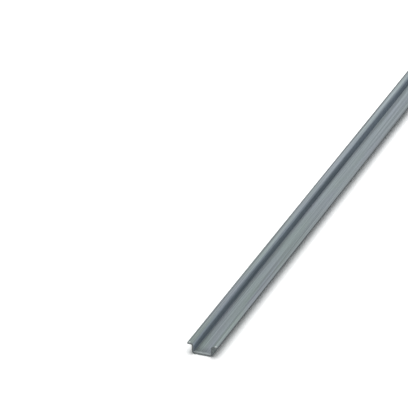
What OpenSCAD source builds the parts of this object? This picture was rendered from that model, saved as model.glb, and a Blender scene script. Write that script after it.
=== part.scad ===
// Miniature top-hat mounting rail, roll-formed from one strip of zinc-plated steel.
// The rail lies along X on its flat back, with the mouth of its channel up.
// The origin is at the middle of the back's underside.

/* [Rail] */
// Length of the rail
rail_length = 1000; // [100:10:2000]
// Width over the tips of both flanges
rail_width = 15; // [14:0.5:20]
// Depth from the back's underside to the top of the flanges
rail_depth = 5.5; // [5:0.5:15]
// Width of the hat over the outsides of its two walls
hat_width = 10.5; // [8:0.5:11.5]

/* [Strip] */
// Thickness of the steel strip
strip_thickness = 1; // [0.6:0.1:1.6]
// Inside radius of each of the four bends
bend_radius = 0.5; // [0.2:0.1:0.8]
// Radius that slitting and rolling leave on the strip's two long edges
edge_radius = 0.15; // [0.05:0.05:0.25]

/* [Hidden] */

zinc_grey = [0.57, 0.60, 0.62];
overlap = 0.05;
$fn = 96;

outer_radius = bend_radius + strip_thickness;
wall_outside = hat_width / 2;
flange_tip = rail_width / 2;
// Each half of the section has a bend at the foot of its wall and one at the top.
foot_bend = [wall_outside - outer_radius, outer_radius];
top_bend = [wall_outside + bend_radius, rail_depth - outer_radius];

// A straight run of strip between two opposite corners of its section.
module run(low, high) {
    translate(low) square(high - low);
}

// A quarter of a ring round a bend's centre; the signs of toward pick the quarter.
module bend(centre, toward) {
    translate(centre)
        intersection() {
            difference() {
                circle(r = outer_radius);
                circle(r = bend_radius);
            }
            mirror([toward[0] < 0 ? 1 : 0, 0])
                mirror([0, toward[1] < 0 ? 1 : 0])
                    square(outer_radius + overlap);
        }
}

// The flat flange, whose free edge has its two corners rolled over.
module flange() {
    under = rail_depth - strip_thickness;
    edge_centre = flange_tip - edge_radius;
    run([top_bend[0], under], [edge_centre, rail_depth]);
    run([edge_centre, under + edge_radius], [flange_tip, rail_depth - edge_radius]);
    for (z = [under + edge_radius, rail_depth - edge_radius])
        translate([edge_centre, z]) circle(r = edge_radius);
}

// Half of the section, from the middle of the back out to one flange tip.
module half_section() {
    run([0, 0], [foot_bend[0], strip_thickness]);
    bend(foot_bend, [1, -1]);
    run([wall_outside - strip_thickness, foot_bend[1]], [wall_outside, top_bend[1]]);
    bend(top_bend, [-1, 1]);
    flange();
}

// The whole section, drawn across X and up Y.
module section() {
    half_section();
    mirror([1, 0]) half_section();
}

module top_hat_rail() {
    color(zinc_grey)
        translate([-rail_length / 2, 0, 0])
            rotate([90, 0, 90])
                linear_extrude(height = rail_length) section();
}

top_hat_rail();
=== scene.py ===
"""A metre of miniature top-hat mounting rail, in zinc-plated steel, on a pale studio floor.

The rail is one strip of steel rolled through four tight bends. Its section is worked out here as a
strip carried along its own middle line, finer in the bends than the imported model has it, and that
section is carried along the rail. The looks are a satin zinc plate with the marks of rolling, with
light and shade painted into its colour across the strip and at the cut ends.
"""

import logging
import math
from dataclasses import dataclass, field
from enum import Enum
from typing import Any

import bpy
import numpy as np
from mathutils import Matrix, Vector


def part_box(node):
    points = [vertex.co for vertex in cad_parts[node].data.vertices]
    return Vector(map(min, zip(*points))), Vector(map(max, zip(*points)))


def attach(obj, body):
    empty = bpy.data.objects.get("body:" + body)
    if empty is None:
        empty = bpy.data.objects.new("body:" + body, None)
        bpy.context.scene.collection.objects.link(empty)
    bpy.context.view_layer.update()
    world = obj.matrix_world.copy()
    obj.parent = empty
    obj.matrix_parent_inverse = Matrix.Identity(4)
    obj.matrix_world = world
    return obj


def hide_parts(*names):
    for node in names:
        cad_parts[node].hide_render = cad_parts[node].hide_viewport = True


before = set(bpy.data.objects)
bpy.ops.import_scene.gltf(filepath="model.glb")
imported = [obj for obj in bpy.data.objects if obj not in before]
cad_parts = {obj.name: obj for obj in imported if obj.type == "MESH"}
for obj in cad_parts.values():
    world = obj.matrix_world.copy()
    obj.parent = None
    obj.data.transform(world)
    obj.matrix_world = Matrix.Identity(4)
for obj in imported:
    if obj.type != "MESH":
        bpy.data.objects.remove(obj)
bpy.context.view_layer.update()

MM = 0.001
LOG = logging.getLogger("top_hat_rail")
# The parts of the strip that have a finish of their own, as shares at the rail's points.
POINT_ZONES = ("slit", "channel", "end_shaded_floor", "wall")


def linear(hex_colour: str) -> tuple[float, float, float, float]:
    """Turns an sRGB hex colour into the linear colour that a shader takes.

    The curve is the sRGB standard's: a straight line near black, and a power above it.

    Args:
        hex_colour: Six hex digits after a hash, such as "#8f979b".

    Returns:
        Red, green, blue and an alpha of one, linear.
    """
    coded = np.array([int(hex_colour[i : i + 2], 16) for i in (1, 3, 5)]) / 255
    flat = np.where(coded <= 0.04045, coded / 12.92, ((coded + 0.055) / 1.055) ** 2.4)
    return (*(float(c) for c in flat), 1.0)


def add_node(
    tree: bpy.types.NodeTree, kind: str, inputs: dict[Any, Any], **settings: Any
) -> bpy.types.Node:
    """Adds one shader node with its settings, its values and its links.

    Args:
        tree: The node tree it goes into.
        kind: The node's type name.
        inputs: Socket name or number to a value, to the output socket that feeds it, or to a
            node whose first output feeds it.
        settings: The node's own properties.

    Returns:
        The new node.
    """
    node = tree.nodes.new(kind)
    for name, value in settings.items():
        setattr(node, name, value)
    for socket, value in inputs.items():
        if isinstance(value, bpy.types.Node):
            value = value.outputs[0]
        if isinstance(value, bpy.types.NodeSocket):
            tree.links.new(value, node.inputs[socket])
        else:
            node.inputs[socket].default_value = value
    return node


class Turn(Enum):
    """Which way the strip's middle line goes, seen from the rail's far end."""

    STRAIGHT = 0
    LEFT = 1
    RIGHT = -1


@dataclass(frozen=True)
class ZincPlate:
    """Bright zinc electroplate with a clear passivate, on cold-rolled strip.

    To the eye it is a satin grey metal, neither mirror nor matt: broad soft reflections, a faint
    drift between greenish and bluish grey, as a passivate of uneven thickness gives, fine lines
    along the strip from the rolls, and slit edges drawn darker as painted shade. Light and shade
    are
    painted into its colour too: across the strip, on the walls and at the cut ends, with painted
    glints at their corners.
    """

    cool_grey: str = "#98a0a7"
    green_grey: str = "#96a3a1"
    # Painted shade: the walls, which stand in shade, are tinted a bluer grey.
    wall_shade_grey: str = "#95a2ae"
    # Painted shade: the slit edges' faces, which turn from the light, are drawn in this darker
    # grey.
    slit_shade_grey: str = "#63686b"
    # Halfway to a metal: the film's scatter is taken in here, and it stops the zinc mirroring.
    metallic: float = 0.5
    roughness: float = 0.75
    roughness_drift: float = 0.05
    # The passivate's tint drifts over some 40 mm along the strip and 8 mm across it.
    tint_along: float = 40 * MM
    tint_across: float = 8 * MM
    # How much of the green is left from drift_reach along; the near end is the greener.
    green_far: float = 0.55
    # Roll lines are a few hundredths of a millimetre apart; these are drawn at 0.5 mm to show.
    line_along: float = 90 * MM
    line_across: float = 0.5 * MM
    line_depth: float = 0.28
    line_detail: float = 3.0
    # The plate's grain is far finer than this 0.7 mm, which is the least that shows.
    grain: float = 0.7 * MM
    grain_depth: float = 0.06
    grain_detail: float = 2.0
    # A slight ripple in the sheet, some 35 mm long.
    ripple: float = 35 * MM
    ripple_height: float = 0.03 * MM
    ripple_narrowing: float = 4.0
    # The tint's and the ripple's noises have next to no finer detail.
    slow_detail: float = 1.0
    # A noise's useful range, which is stretched to the whole of what it drives.
    noise_reach: tuple[float, float] = (0.3, 0.7)
    # The shade across the strip, as (mm in from the left slit edge, share), at the -X end and from
    # drift_reach along. Places and shares were first set from measured brightness; a fitting
    # program then scaled all but five of the shares. They are mostly painted light and shade:
    # painted shade in the corner at the foot of each wall, over the bends and by the slit edges,
    # and painted highlights on the flanges and the channel's floor, laid differently at the two
    # ends.
    low_painted_light: tuple[tuple[float, float], ...] = (
        (0.0, 0.50),
        (0.5, 0.56),
        (1.1, 0.69),
        (2.5, 0.91),
        (4.4, 0.68),
        (6.2, 0.60),
        (7.3, 0.62),
        (8.4, 0.81),
        (10.5, 0.78),
        (13.5, 0.72),
        (15.8, 0.62),
        (20.1, 0.62),
        (20.35, 0.59),
        (20.6, 0.67),
        (21.5, 0.81),
        (21.98, 0.83),
    )
    high_painted_light: tuple[tuple[float, float], ...] = (
        (0.0, 0.50),
        (0.3, 0.39),
        (0.9, 0.89),
        (2.0, 0.97),
        (2.8, 0.83),
        (4.4, 0.82),
        (5.4, 0.66),
        (6.2, 0.54),
        (7.3, 0.87),
        (9.5, 0.88),
        (12.8, 0.75),
        (15.8, 0.66),
        (20.1, 0.79),
        (20.35, 0.75),
        (20.6, 0.85),
        (21.2, 0.62),
        (21.98, 0.61),
    )
    drift_reach: float = 250 * MM
    # Painted shade: the channel is drawn darker behind both cut ends.
    end_shade: float = 0.62
    end_reach: float = 7 * MM
    # How far the grain frays the bounds of the painted shade and the painted highlight at the ends.
    end_fray: float = 0.8 * MM
    # Painted highlight: the lip of the channel's floor by each cut end is drawn brighter, where its
    # rounded edge catches the light.
    lip_highlight_grey: str = "#9ca3a4"
    lip_reach: float = 1.3 * MM
    lip_full: float = 0.6
    # How bright the cut end is: (mm in from the left slit edge, share of its grey). The steps are
    # painted light and shade: the left tip's end and the floor's end brighter, where they catch the
    # light, and the ends of the walls and of the right flange darker, in shade.
    cut_grey: str = "#a3aaac"
    cut_painted_light: tuple[tuple[float, float], ...] = (
        (0.0, 1.0),
        (1.0, 0.7),
        (6.3, 0.55),
        (7.2, 0.75),
        (15.0, 0.75),
        (15.9, 0.55),
        (21.98, 0.55),
    )
    # Painted glints: bright spots at the flange corners of each cut end, where a corner catches the
    # light: (mm from the end, mm in from the left edge).
    glint_spots: tuple[tuple[float, float], ...] = ((0.5, 0.9), (0.5, 21.2))
    glint_radius: float = 0.6 * MM
    glint_full: float = 0.4
    glint_grey: str = "#c9cdcd"

    def noise(
        self,
        tree: bpy.types.NodeTree,
        strip: bpy.types.Node,
        size: tuple[float, float],
        detail: float,
    ) -> bpy.types.Node:
        """Spreads one noise over the strip.

        Args:
            tree: The material's node tree.
            strip: The strip map.
            size: How long the noise's features are along the strip and across it, in metres.
            detail: How many finer layers it has.

        Returns:
            The noise, whose first output is its level.
        """
        along, across = size
        scaled = add_node(
            tree, "ShaderNodeMapping", {"Vector": strip, "Scale": (1 / along, 1 / across, 1.0)}
        )
        return add_node(
            tree,
            "ShaderNodeTexNoise",
            {"Vector": scaled, "Scale": 1.0, "Detail": detail},
            noise_dimensions="2D",
        )

    def profile(
        self,
        tree: bpy.types.NodeTree,
        run: bpy.types.NodeSocket,
        width: float,
        steps: tuple[tuple[float, float], ...],
    ) -> bpy.types.Node:
        """Runs a share across the strip, straight from each given step to the next.

        Args:
            tree: The material's node tree.
            run: The distance in from the left slit edge.
            width: The strip's width along its middle line, in metres.
            steps: The steps, as (mm in from the left slit edge, share).

        Returns:
            The share, as the node's first output.
        """
        at = add_node(
            tree, "ShaderNodeMapRange", {"Value": run, 1: 0.0, 2: width, 3: 0.0, 4: 1.0}
        )
        shares = add_node(tree, "ShaderNodeValToRGB", {0: at})
        stops = shares.color_ramp.elements
        while len(stops) < len(steps):
            stops.new(0.5)
        for stop, (where, share) in zip(stops, steps):
            stop.position = min(where * MM / width, 1.0)
            stop.color = (share, share, share, 1.0)
        return shares

    def build(self, length: float, width: float) -> bpy.types.Material:
        """Makes the material.

        The colour is a slow mix of two greys, times one plus a share of the roll lines and the
        grain, times the painted shade across the strip and near the cut ends; it then turns towards
        the lip's painted highlight, the slit edges' painted shade, the cut end's grey with its
        painted light and shade, and the painted glints at the corners.

        Args:
            length: The rail's length, in metres.
            width: The strip's width along its middle line, in metres.

        Returns:
            The material, which reads the piece's strip map and its zones.
        """
        material = bpy.data.materials.new("zinc_plate")
        material.use_nodes = True
        tree = material.node_tree
        tree.nodes.clear()
        strip = add_node(tree, "ShaderNodeUVMap", {}, uv_map="strip")
        place, run = add_node(tree, "ShaderNodeSeparateXYZ", {0: strip}).outputs[:2]
        zones = {
            name: add_node(tree, "ShaderNodeAttribute", {}, attribute_name=name).outputs["Fac"]
            for name in (*POINT_ZONES, "cut_end")
        }
        lines = self.noise(tree, strip, (self.line_along, self.line_across), self.line_detail)
        grain = self.noise(tree, strip, (self.grain, self.grain), self.grain_detail)
        low, high = self.noise_reach

        # How far in from the nearer cut end, and the same with a frayed bound.
        outwards = add_node(tree, "ShaderNodeMath", {0: place}, operation="ABSOLUTE")
        from_end = add_node(
            tree, "ShaderNodeMath", {0: length / 2, 1: outwards}, operation="SUBTRACT"
        )
        fray = add_node(
            tree,
            "ShaderNodeMapRange",
            {"Value": grain, 1: low, 2: high, 3: -self.end_fray, 4: self.end_fray},
        )
        ragged = add_node(tree, "ShaderNodeMath", {0: from_end, 1: fray}, operation="ADD")

        # The shade: the roll lines, the grain, the painted shade behind the ends and the painted
        # light and shade across the strip.
        line_share, grain_share = (
            add_node(
                tree,
                "ShaderNodeMapRange",
                {"Value": pattern, 1: low, 2: high, 3: 1 - depth, 4: 1 + depth},
            )
            for pattern, depth in ((lines, self.line_depth), (grain, self.grain_depth))
        )
        shaded_by_end = add_node(
            tree,
            "ShaderNodeMapRange",
            {"Value": ragged, 1: self.lip_reach, 2: self.end_reach, 3: self.end_shade, 4: 1.0},
        )
        loss = add_node(tree, "ShaderNodeMath", {0: shaded_by_end, 1: 1.0}, operation="SUBTRACT")
        loss = add_node(
            tree, "ShaderNodeMath", {0: zones["end_shaded_floor"], 1: loss}, operation="MULTIPLY"
        )
        end_shading = add_node(tree, "ShaderNodeMath", {0: 1.0, 1: loss}, operation="ADD")
        drift = add_node(
            tree,
            "ShaderNodeMapRange",
            {"Value": place, 1: -length / 2, 2: self.drift_reach - length / 2, 3: 0.0, 4: 1.0},
        )
        across = add_node(
            tree,
            "ShaderNodeMix",
            {
                0: drift,
                6: self.profile(tree, run, width, self.low_painted_light),
                7: self.profile(tree, run, width, self.high_painted_light),
            },
            data_type="RGBA",
        ).outputs[2]
        shade = line_share
        for share in (grain_share, end_shading, across):
            shade = add_node(tree, "ShaderNodeMath", {0: shade, 1: share}, operation="MULTIPLY")

        # The plate's own grey, with its tint and the walls' painted shade tint, under that shade.
        tint = add_node(
            tree,
            "ShaderNodeMapRange",
            {
                "Value": self.noise(
                    tree, strip, (self.tint_along, self.tint_across), self.slow_detail
                ),
                1: low,
                2: high,
                3: 0.0,
                4: 1.0,
            },
        )
        green_left = add_node(
            tree, "ShaderNodeMapRange", {"Value": drift, 1: 0.0, 2: 1.0, 3: 1.0, 4: self.green_far}
        )
        tint = add_node(tree, "ShaderNodeMath", {0: tint, 1: green_left}, operation="MULTIPLY")
        grey = linear(self.cool_grey)
        for share, other in ((tint, self.green_grey), (zones["wall"], self.wall_shade_grey)):
            grey = add_node(
                tree, "ShaderNodeMix", {0: share, 6: grey, 7: linear(other)}, data_type="RGBA"
            ).outputs[2]
        grey = add_node(
            tree, "ShaderNodeVectorMath", {0: grey, "Scale": shade}, operation="SCALE"
        )

        # What lies over it: the lip's painted highlight, the slit edges' painted shade, the cut
        # ends with their painted light and shade, and the painted glints at their corners.
        lip_highlight = add_node(
            tree,
            "ShaderNodeMapRange",
            {
                "Value": ragged,
                1: self.lip_full * self.lip_reach,
                2: self.lip_reach,
                3: 1.0,
                4: 0.0,
            },
        )
        lip_highlight = add_node(
            tree, "ShaderNodeMath", {0: lip_highlight, 1: zones["channel"]}, operation="MULTIPLY"
        )
        cut = add_node(
            tree,
            "ShaderNodeVectorMath",
            {
                0: linear(self.cut_grey)[:3],
                "Scale": self.profile(tree, run, width, self.cut_painted_light),
            },
            operation="SCALE",
        )
        over = [
            (lip_highlight, linear(self.lip_highlight_grey)),
            (zones["slit"], linear(self.slit_shade_grey)),
            (zones["cut_end"], cut),
        ]
        here = add_node(tree, "ShaderNodeCombineXYZ", {0: from_end, 1: run})
        for inward, sideways in self.glint_spots:
            away = add_node(
                tree,
                "ShaderNodeVectorMath",
                {0: here, 1: (inward * MM, sideways * MM, 0.0)},
                operation="DISTANCE",
            ).outputs["Value"]
            glint = add_node(
                tree,
                "ShaderNodeMapRange",
                {
                    "Value": away,
                    1: self.glint_full * self.glint_radius,
                    2: self.glint_radius,
                    3: 1.0,
                    4: 0.0,
                },
            )
            over.append((glint, linear(self.glint_grey)))
        for share, other in over:
            grey = add_node(
                tree, "ShaderNodeMix", {0: share, 6: grey, 7: other}, data_type="RGBA"
            ).outputs[2]

        rough = add_node(
            tree,
            "ShaderNodeMapRange",
            {
                "Value": lines,
                1: low,
                2: high,
                3: self.roughness - self.roughness_drift,
                4: self.roughness + self.roughness_drift,
            },
        )
        ripple_size = (self.ripple, self.ripple / self.ripple_narrowing)
        bump = add_node(
            tree,
            "ShaderNodeBump",
            {
                "Height": self.noise(tree, strip, ripple_size, self.slow_detail),
                "Distance": self.ripple_height,
                "Strength": 1.0,
            },
        )
        shader = add_node(
            tree,
            "ShaderNodeBsdfPrincipled",
            {
                "Base Color": grey,
                "Metallic": self.metallic,
                "Roughness": rough,
                "Normal": bump,
            },
        )
        add_node(tree, "ShaderNodeOutputMaterial", {"Surface": shader})
        return material


@dataclass
class RolledSection:
    """The rail's section: a strip of one thickness, carried along its own middle line.

    Sizes are in metres. The middle line runs from the tip of the left flange (+Y) over the
    channel to the tip of the right flange (-Y).
    """

    width: float
    depth: float
    hat: float = 10.5 * MM
    thickness: float = 1.0 * MM
    bend: float = 0.5 * MM
    edge: float = 0.15 * MM
    bend_steps: int = 12
    edge_steps: int = 4
    flat_steps: int = 6
    # The part of the floor that takes the painted shade behind the ends runs from the left wall to
    # this far past the middle.
    end_shade_side: float = 2.0 * MM
    # Low strip whose normal points up by more than this is the channel's floor.
    floor_facing: float = 0.7

    def middle_line(self) -> tuple[np.ndarray, np.ndarray, np.ndarray]:
        """Follows the strip's middle line.

        Each stretch is either straight or a quarter turn about a bend's centre. A point on a
        straight is its start plus its direction times the distance; a point on a turn is the
        centre plus the radius times the turned normal.

        Returns:
            The points (n, 2), the normals (n, 2) that point out of the channel's mouth on the
            flats, and the distance along the strip (n,).
        """
        radius = self.bend + self.thickness / 2
        straight = [
            self.width / 2 - self.edge - (self.hat / 2 + self.bend),
            self.depth - 2 * (self.bend + self.thickness),
            self.hat - 2 * (self.bend + self.thickness),
        ]
        flange, wall, back = straight
        half = [
            (flange, Turn.STRAIGHT),
            (radius, Turn.LEFT),
            (wall, Turn.STRAIGHT),
            (radius, Turn.RIGHT),
        ]
        stretches = [*half, (back, Turn.STRAIGHT), *half[::-1]]
        at = np.array([self.width / 2 - self.edge, self.depth - self.thickness / 2])
        heading = math.pi
        points, normals, run = [], [], []
        gone = 0.0
        for size, way in stretches:
            turn = way.value
            steps = self.bend_steps if turn else self.flat_steps
            t = np.linspace(0, 1, steps + 1)
            if turn:
                angle = heading + turn * t * math.pi / 2
                side = np.stack([-np.sin(angle), np.cos(angle)], 1)
                centre = at + turn * size * side[0]
                here = centre - turn * size * side
                length = size * math.pi / 2
                heading = float(angle[-1])
            else:
                angle = np.full(steps + 1, heading)
                along = np.array([math.cos(heading), math.sin(heading)])
                here = at + np.outer(t * size, along)
                side = np.stack([-np.sin(angle), np.cos(angle)], 1)
                length = size
            first = 1 if points else 0
            points.append(here[first:])
            normals.append(-side[first:])
            run.append((gone + t * length)[first:])
            gone += length
            at = here[-1]
        return np.concatenate(points), np.concatenate(normals), np.concatenate(run)

    def ring(self) -> dict[str, np.ndarray]:
        """The section's outline, once round, anticlockwise seen from the rail's far end.

        The upper side is the middle line plus half the thickness along the normal, the lower
        side is the same minus it, and each tip is two quarter rounds joined by a flat.

        Returns:
            "points" (n, 2), "normals" (n, 2), "run" (n,) along the strip, and four zones (n,)
            that are one inside and zero outside: "slit", the slit edges; "channel", the
            channel's floor; "end_shaded_floor", the part of it that the painted shade behind the
            ends reaches; and "wall", the walls, which fades out round the bends as the square of
            how far the strip is turned sideways. "side" is the number of points on one side of the
            strip.
        """
        line, normal, run = self.middle_line()
        half = self.thickness / 2
        upper, lower = line + half * normal, line - half * normal
        turn = np.linspace(0, math.pi / 2, self.edge_steps + 1)
        top = np.stack([np.sin(turn), np.cos(turn)], 1)
        below = np.stack([np.cos(turn), -np.sin(turn)], 1)
        out = np.concatenate([top, below])
        centres = np.concatenate(
            [
                np.tile([0.0, half - self.edge], (len(turn), 1)),
                np.tile([0.0, self.edge - half], (len(turn), 1)),
            ]
        )
        tip = centres + self.edge * out
        right = tip[1:-1] * [-1, 1] + line[-1]
        left = tip[1:-1][::-1] + line[0]
        along_tip = np.linspace(0, self.thickness, len(right) + 2)[1:-1]
        points = np.concatenate([upper, right, lower[::-1], left])
        normals = np.concatenate(
            [normal, out[1:-1] * [-1, 1], -normal[::-1], out[1:-1][::-1]]
        )
        runs = np.concatenate(
            [run, run[-1] + along_tip, run[::-1], -along_tip[::-1]]
        )
        slit = np.concatenate(
            [
                np.zeros(len(run)),
                np.ones(len(right)),
                np.zeros(len(run)),
                np.ones(len(left)),
            ]
        )
        channel, end_shaded_floor, wall = (np.zeros(len(points)) for _ in range(3))
        wall[: len(run)] = normal[:, 0] ** 2
        channel[: len(run)] = (normal[:, 1] > self.floor_facing) & (upper[:, 1] < self.depth / 2)
        end_shaded_floor[: len(run)] = channel[: len(run)] * (upper[:, 0] > -self.end_shade_side)
        return {
            "points": points,
            "normals": normals,
            "run": runs,
            "slit": slit,
            "channel": channel,
            "end_shaded_floor": end_shaded_floor,
            "wall": wall,
            "side": np.array(len(run)),
        }


@dataclass
class Rail:
    """The rail: its section carried along X, with both cut ends just taken off sharp."""

    section: RolledSection
    length: float
    finish: ZincPlate = field(default_factory=ZincPlate)
    end_round: float = 0.12 * MM
    end_steps: int = 3
    body_steps: int = 80
    node: str = "top_hat_rail"

    def stations(self) -> tuple[np.ndarray, np.ndarray, np.ndarray]:
        """Where the section stands along the rail, and how far it is drawn in there.

        Over each end's round, the place is the end plus the radius times one minus the sine,
        and the section is drawn in by the radius times one minus the cosine.

        Returns:
            The places along X, the distance the outline is drawn in, and the angle that its
            normal leans out towards the end, each (m,).
        """
        lean = np.linspace(math.pi / 2, 0, self.end_steps + 1)
        start = self.end_round * (1 - np.sin(lean))
        drawn = self.end_round * (1 - np.cos(lean))
        middle = np.linspace(self.end_round, self.length - self.end_round, self.body_steps + 1)
        place = np.concatenate([start[:-1], middle, self.length - start[:-1][::-1]])
        inset = np.concatenate([drawn[:-1], np.zeros(len(middle)), drawn[:-1][::-1]])
        angle = np.concatenate([-lean[:-1], np.zeros(len(middle)), lean[:-1][::-1]])
        return place - self.length / 2, inset, angle

    def build(self) -> bpy.types.Object:
        """Makes the rail's mesh and dresses it.

        A point is the outline's point less the inset along its normal, at its station; its
        normal is the outline's normal times the cosine of the lean, plus X times the sine.

        Returns:
            The rail.
        """
        ring = self.section.ring()
        place, inset, angle = self.stations()
        count, rings = len(ring["points"]), len(place)
        at = np.empty((rings, count, 3))
        at[..., 0] = place[:, None]
        at[..., 1:] = ring["points"][None] - inset[:, None, None] * ring["normals"][None]
        facing = np.empty((rings, count, 3))
        facing[..., 0] = np.sin(angle)[:, None]
        facing[..., 1:] = np.cos(angle)[:, None, None] * ring["normals"][None]
        row, col = np.meshgrid(np.arange(rings - 1), np.arange(count), indexing="ij")
        near, far, turn = row * count + col, (row + 1) * count + col, (col + 1) % count
        skin = np.stack(
            [near, row * count + turn, (row + 1) * count + turn, far], -1
        ).reshape(-1, 4)
        side = int(ring["side"])
        i = np.arange(side - 1)
        pair = 2 * side + (count - 2 * side) // 2 - 1 - i
        cap = np.stack([i, pair, pair - 1, i + 1], 1)
        right_tip = np.arange(side - 1, count - side - (count - 2 * side) // 2 + 1)
        left_tip = np.r_[np.arange(count - (count - 2 * side) // 2 - 1, count), 0]
        faces = skin.tolist() + cap.tolist() + [left_tip[::-1].tolist(), right_tip[::-1].tolist()]
        last = (rings - 1) * count
        faces += (cap[:, ::-1] + last).tolist()
        faces += [(left_tip + last).tolist(), (right_tip + last).tolist()]
        mesh = bpy.data.meshes.new("rail_skin")
        mesh.from_pydata(at.reshape(-1, 3).tolist(), [], faces)
        self.dress(mesh, ring, at, facing, len(skin))
        rail = bpy.data.objects.new("rail_skin", mesh)
        bpy.context.scene.collection.objects.link(rail)
        mesh.materials.append(self.finish.build(self.length, float(ring["run"][side - 1])))
        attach(rail, "root")
        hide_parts(self.node)
        return rail

    def dress(
        self,
        mesh: bpy.types.Mesh,
        ring: dict[str, np.ndarray],
        at: np.ndarray,
        facing: np.ndarray,
        skin_faces: int,
    ) -> None:
        """Gives the mesh its strip map, its edge attributes and its exact normals.

        Args:
            mesh: The rail's mesh.
            ring: The section's outline.
            at: The points, (stations, outline, 3).
            facing: The normals, of the same shape.
            skin_faces: How many of the faces, from the first, aren't in a cut end.
        """
        rings, count = at.shape[:2]
        strip = np.stack([at[..., 0], np.tile(ring["run"], (rings, 1))], -1)
        corner = np.empty(len(mesh.loops), np.int32)
        mesh.loops.foreach_get("vertex_index", corner)
        uv = mesh.uv_layers.new(name="strip")
        uv.data.foreach_set("uv", strip.reshape(-1, 2)[corner].astype(np.float32).ravel())
        for name in POINT_ZONES:
            zone = mesh.attributes.new(name, "FLOAT", "POINT")
            zone.data.foreach_set("value", np.tile(ring[name], rings).astype(np.float32))
        starts = np.empty(len(mesh.polygons), np.int32)
        mesh.polygons.foreach_get("loop_start", starts)
        on_end = np.arange(len(mesh.loops)) >= starts[skin_faces]
        cut = mesh.attributes.new("cut_end", "FLOAT", "CORNER")
        cut.data.foreach_set("value", on_end.astype(np.float32))
        mesh.polygons.foreach_set("use_smooth", np.ones(len(mesh.polygons), bool))
        normals = facing.reshape(-1, 3)[corner]
        normals[on_end] = np.sign(at.reshape(-1, 3)[corner[on_end]][:, :1]) * [1, 0, 0]
        mesh.normals_split_custom_set(normals.tolist())
        mesh.update()


@dataclass(frozen=True)
class SoftBox:
    """A flat soft lamp of one even level, of which one is the white of a fully lit white card."""

    name: str
    level: float
    size: tuple[float, float]
    place: tuple[float, float, float]
    aim: tuple[float, float, float]

    def build(self) -> bpy.types.Object:
        """Hangs the box in its place, turned to its aim and out of the camera's sight.

        Its power is its level times pi times its area, which is how the lamp's power is counted.

        Returns:
            The lamp.
        """
        data = bpy.data.lights.new(self.name, "AREA")
        data.shape = "RECTANGLE"
        data.size, data.size_y = self.size
        data.energy = self.level * math.pi * self.size[0] * self.size[1]
        box = bpy.data.objects.new(self.name, data)
        box.location = self.place
        away = Vector(self.aim) - Vector(self.place)
        box.rotation_euler = away.to_track_quat("-Z", "Y").to_euler()
        box.visible_camera = False
        bpy.context.scene.collection.objects.link(box)
        return box


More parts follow.
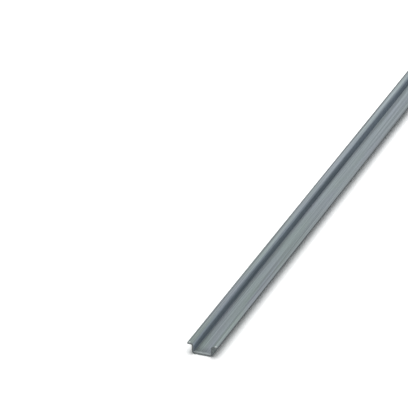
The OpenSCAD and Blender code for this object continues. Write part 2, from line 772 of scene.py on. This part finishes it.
@dataclass(frozen=True)
class Studio:
    """A white floor and surround under one broad soft box, level enough to show colours plain."""

    floor_size: float = 60.0
    floor_drop: float = 0.02 * MM
    floor_white: str = "#f4f5f5"
    # How much brighter than its own shade the floor looks straight into the camera.
    seen_white: float = 1.51
    # The surround's level where it lights the floor, and where metal shows it.
    surround_fill: float = 0.42
    surround_shine: float = 0.83
    boxes: tuple[SoftBox, ...] = (
        SoftBox(
            "back_box", level=2.2, size=(2.1, 3.13), place=(0.62, 0.12, 2.0), aim=(-0.3, 0, 0)
        ),
    )

    def build_floor(self) -> bpy.types.Object:
        """Lays the floor, just clear of the rail's underside.

        Returns:
            The floor.
        """
        half = self.floor_size / 2
        corners = [(-half, -half), (half, -half), (half, half), (-half, half)]
        mesh = bpy.data.meshes.new("floor")
        mesh.from_pydata([(x, y, -self.floor_drop) for x, y in corners], [], [(0, 1, 2, 3)])
        floor = bpy.data.objects.new("floor", mesh)
        bpy.context.scene.collection.objects.link(floor)
        material = bpy.data.materials.new("pale_floor")
        material.use_nodes = True
        tree = material.node_tree
        tree.nodes.clear()
        white = linear(self.floor_white)
        seen = tuple(self.seen_white * c for c in white[:3]) + (1.0,)
        camera = add_node(tree, "ShaderNodeLightPath", {}).outputs["Is Camera Ray"]
        colour = add_node(
            tree, "ShaderNodeMix", {0: camera, 6: white, 7: seen}, data_type="RGBA"
        )
        matt = add_node(tree, "ShaderNodeBsdfDiffuse", {"Color": colour.outputs[2]})
        add_node(tree, "ShaderNodeOutputMaterial", {"Surface": matt})
        mesh.materials.append(material)
        return floor

    def build_surround(self) -> None:
        """Fills the space round the rail with white, dimmer where it only lights the floor."""
        world = bpy.data.worlds.new("surround")
        world.use_nodes = True
        tree = world.node_tree
        tree.nodes.clear()
        path = add_node(tree, "ShaderNodeLightPath", {})
        glossy = path.outputs["Is Glossy Ray"]
        shine = add_node(
            tree,
            "ShaderNodeMapRange",
            {"Value": glossy, 3: self.surround_fill, 4: self.surround_shine},
        )
        strength = add_node(
            tree,
            "ShaderNodeMapRange",
            {"Value": path.outputs["Is Camera Ray"], 3: shine, 4: 1.0},
        )
        light = add_node(
            tree,
            "ShaderNodeBackground",
            {"Color": (1.0, 1.0, 1.0, 1.0), "Strength": strength},
        )
        add_node(tree, "ShaderNodeOutputWorld", {"Surface": light})
        bpy.context.scene.world = world


@dataclass(frozen=True)
class LongLens:
    """The camera: a long lens from the near end, above the right flange.

    The aim is the point of the floor on the lens's axis, from the middle of the rail.
    """

    near_end_to_aim: tuple[float, float] = (146.2 * MM, 56.01 * MM)
    distance: float = 1.6357
    azimuth_deg: float = 21.269
    elevation_deg: float = 26.517
    focal_mm: float = 285.7
    sensor_mm: float = 36.0
    clip: tuple[float, float] = (0.05, 100.0)

    def build(self, near_end: float) -> bpy.types.Object:
        """Sets up the camera and makes it the scene's.

        Args:
            near_end: Where the rail's near end is along X, in metres.

        Returns:
            The camera.
        """
        turn, rise = math.radians(self.azimuth_deg), math.radians(self.elevation_deg)
        looking = Vector(
            (
                math.cos(turn) * math.cos(rise),
                math.sin(turn) * math.cos(rise),
                -math.sin(rise),
            )
        )
        aim = Vector((near_end + self.near_end_to_aim[0], self.near_end_to_aim[1], 0.0))
        data = bpy.data.cameras.new("long_lens")
        data.lens = self.focal_mm
        data.sensor_width = self.sensor_mm
        data.clip_start, data.clip_end = self.clip
        camera = bpy.data.objects.new("long_lens", data)
        camera.location = aim - self.distance * looking
        camera.rotation_euler = looking.to_track_quat("-Z", "Y").to_euler()
        bpy.context.scene.collection.objects.link(camera)
        bpy.context.scene.camera = camera
        return camera


def main() -> None:
    """Builds the camera, the studio and the rail."""
    logging.basicConfig(level=logging.INFO, format="%(name)s: %(message)s")
    low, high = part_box("top_hat_rail")
    size = high - low
    camera = LongLens().build(near_end=low.x)
    LOG.info("camera %s at %s", camera.name, tuple(round(c, 3) for c in camera.location))
    studio = Studio()
    studio.build_floor()
    studio.build_surround()
    for box in studio.boxes:
        LOG.info("studio with %s", box.build().name)
    rail = Rail(RolledSection(width=size.y, depth=size.z), length=size.x).build()
    LOG.info("%s: %d faces", rail.name, len(rail.data.polygons))
    bpy.context.scene.view_settings.view_transform = "Standard"


if __name__ == "__main__":
    main()
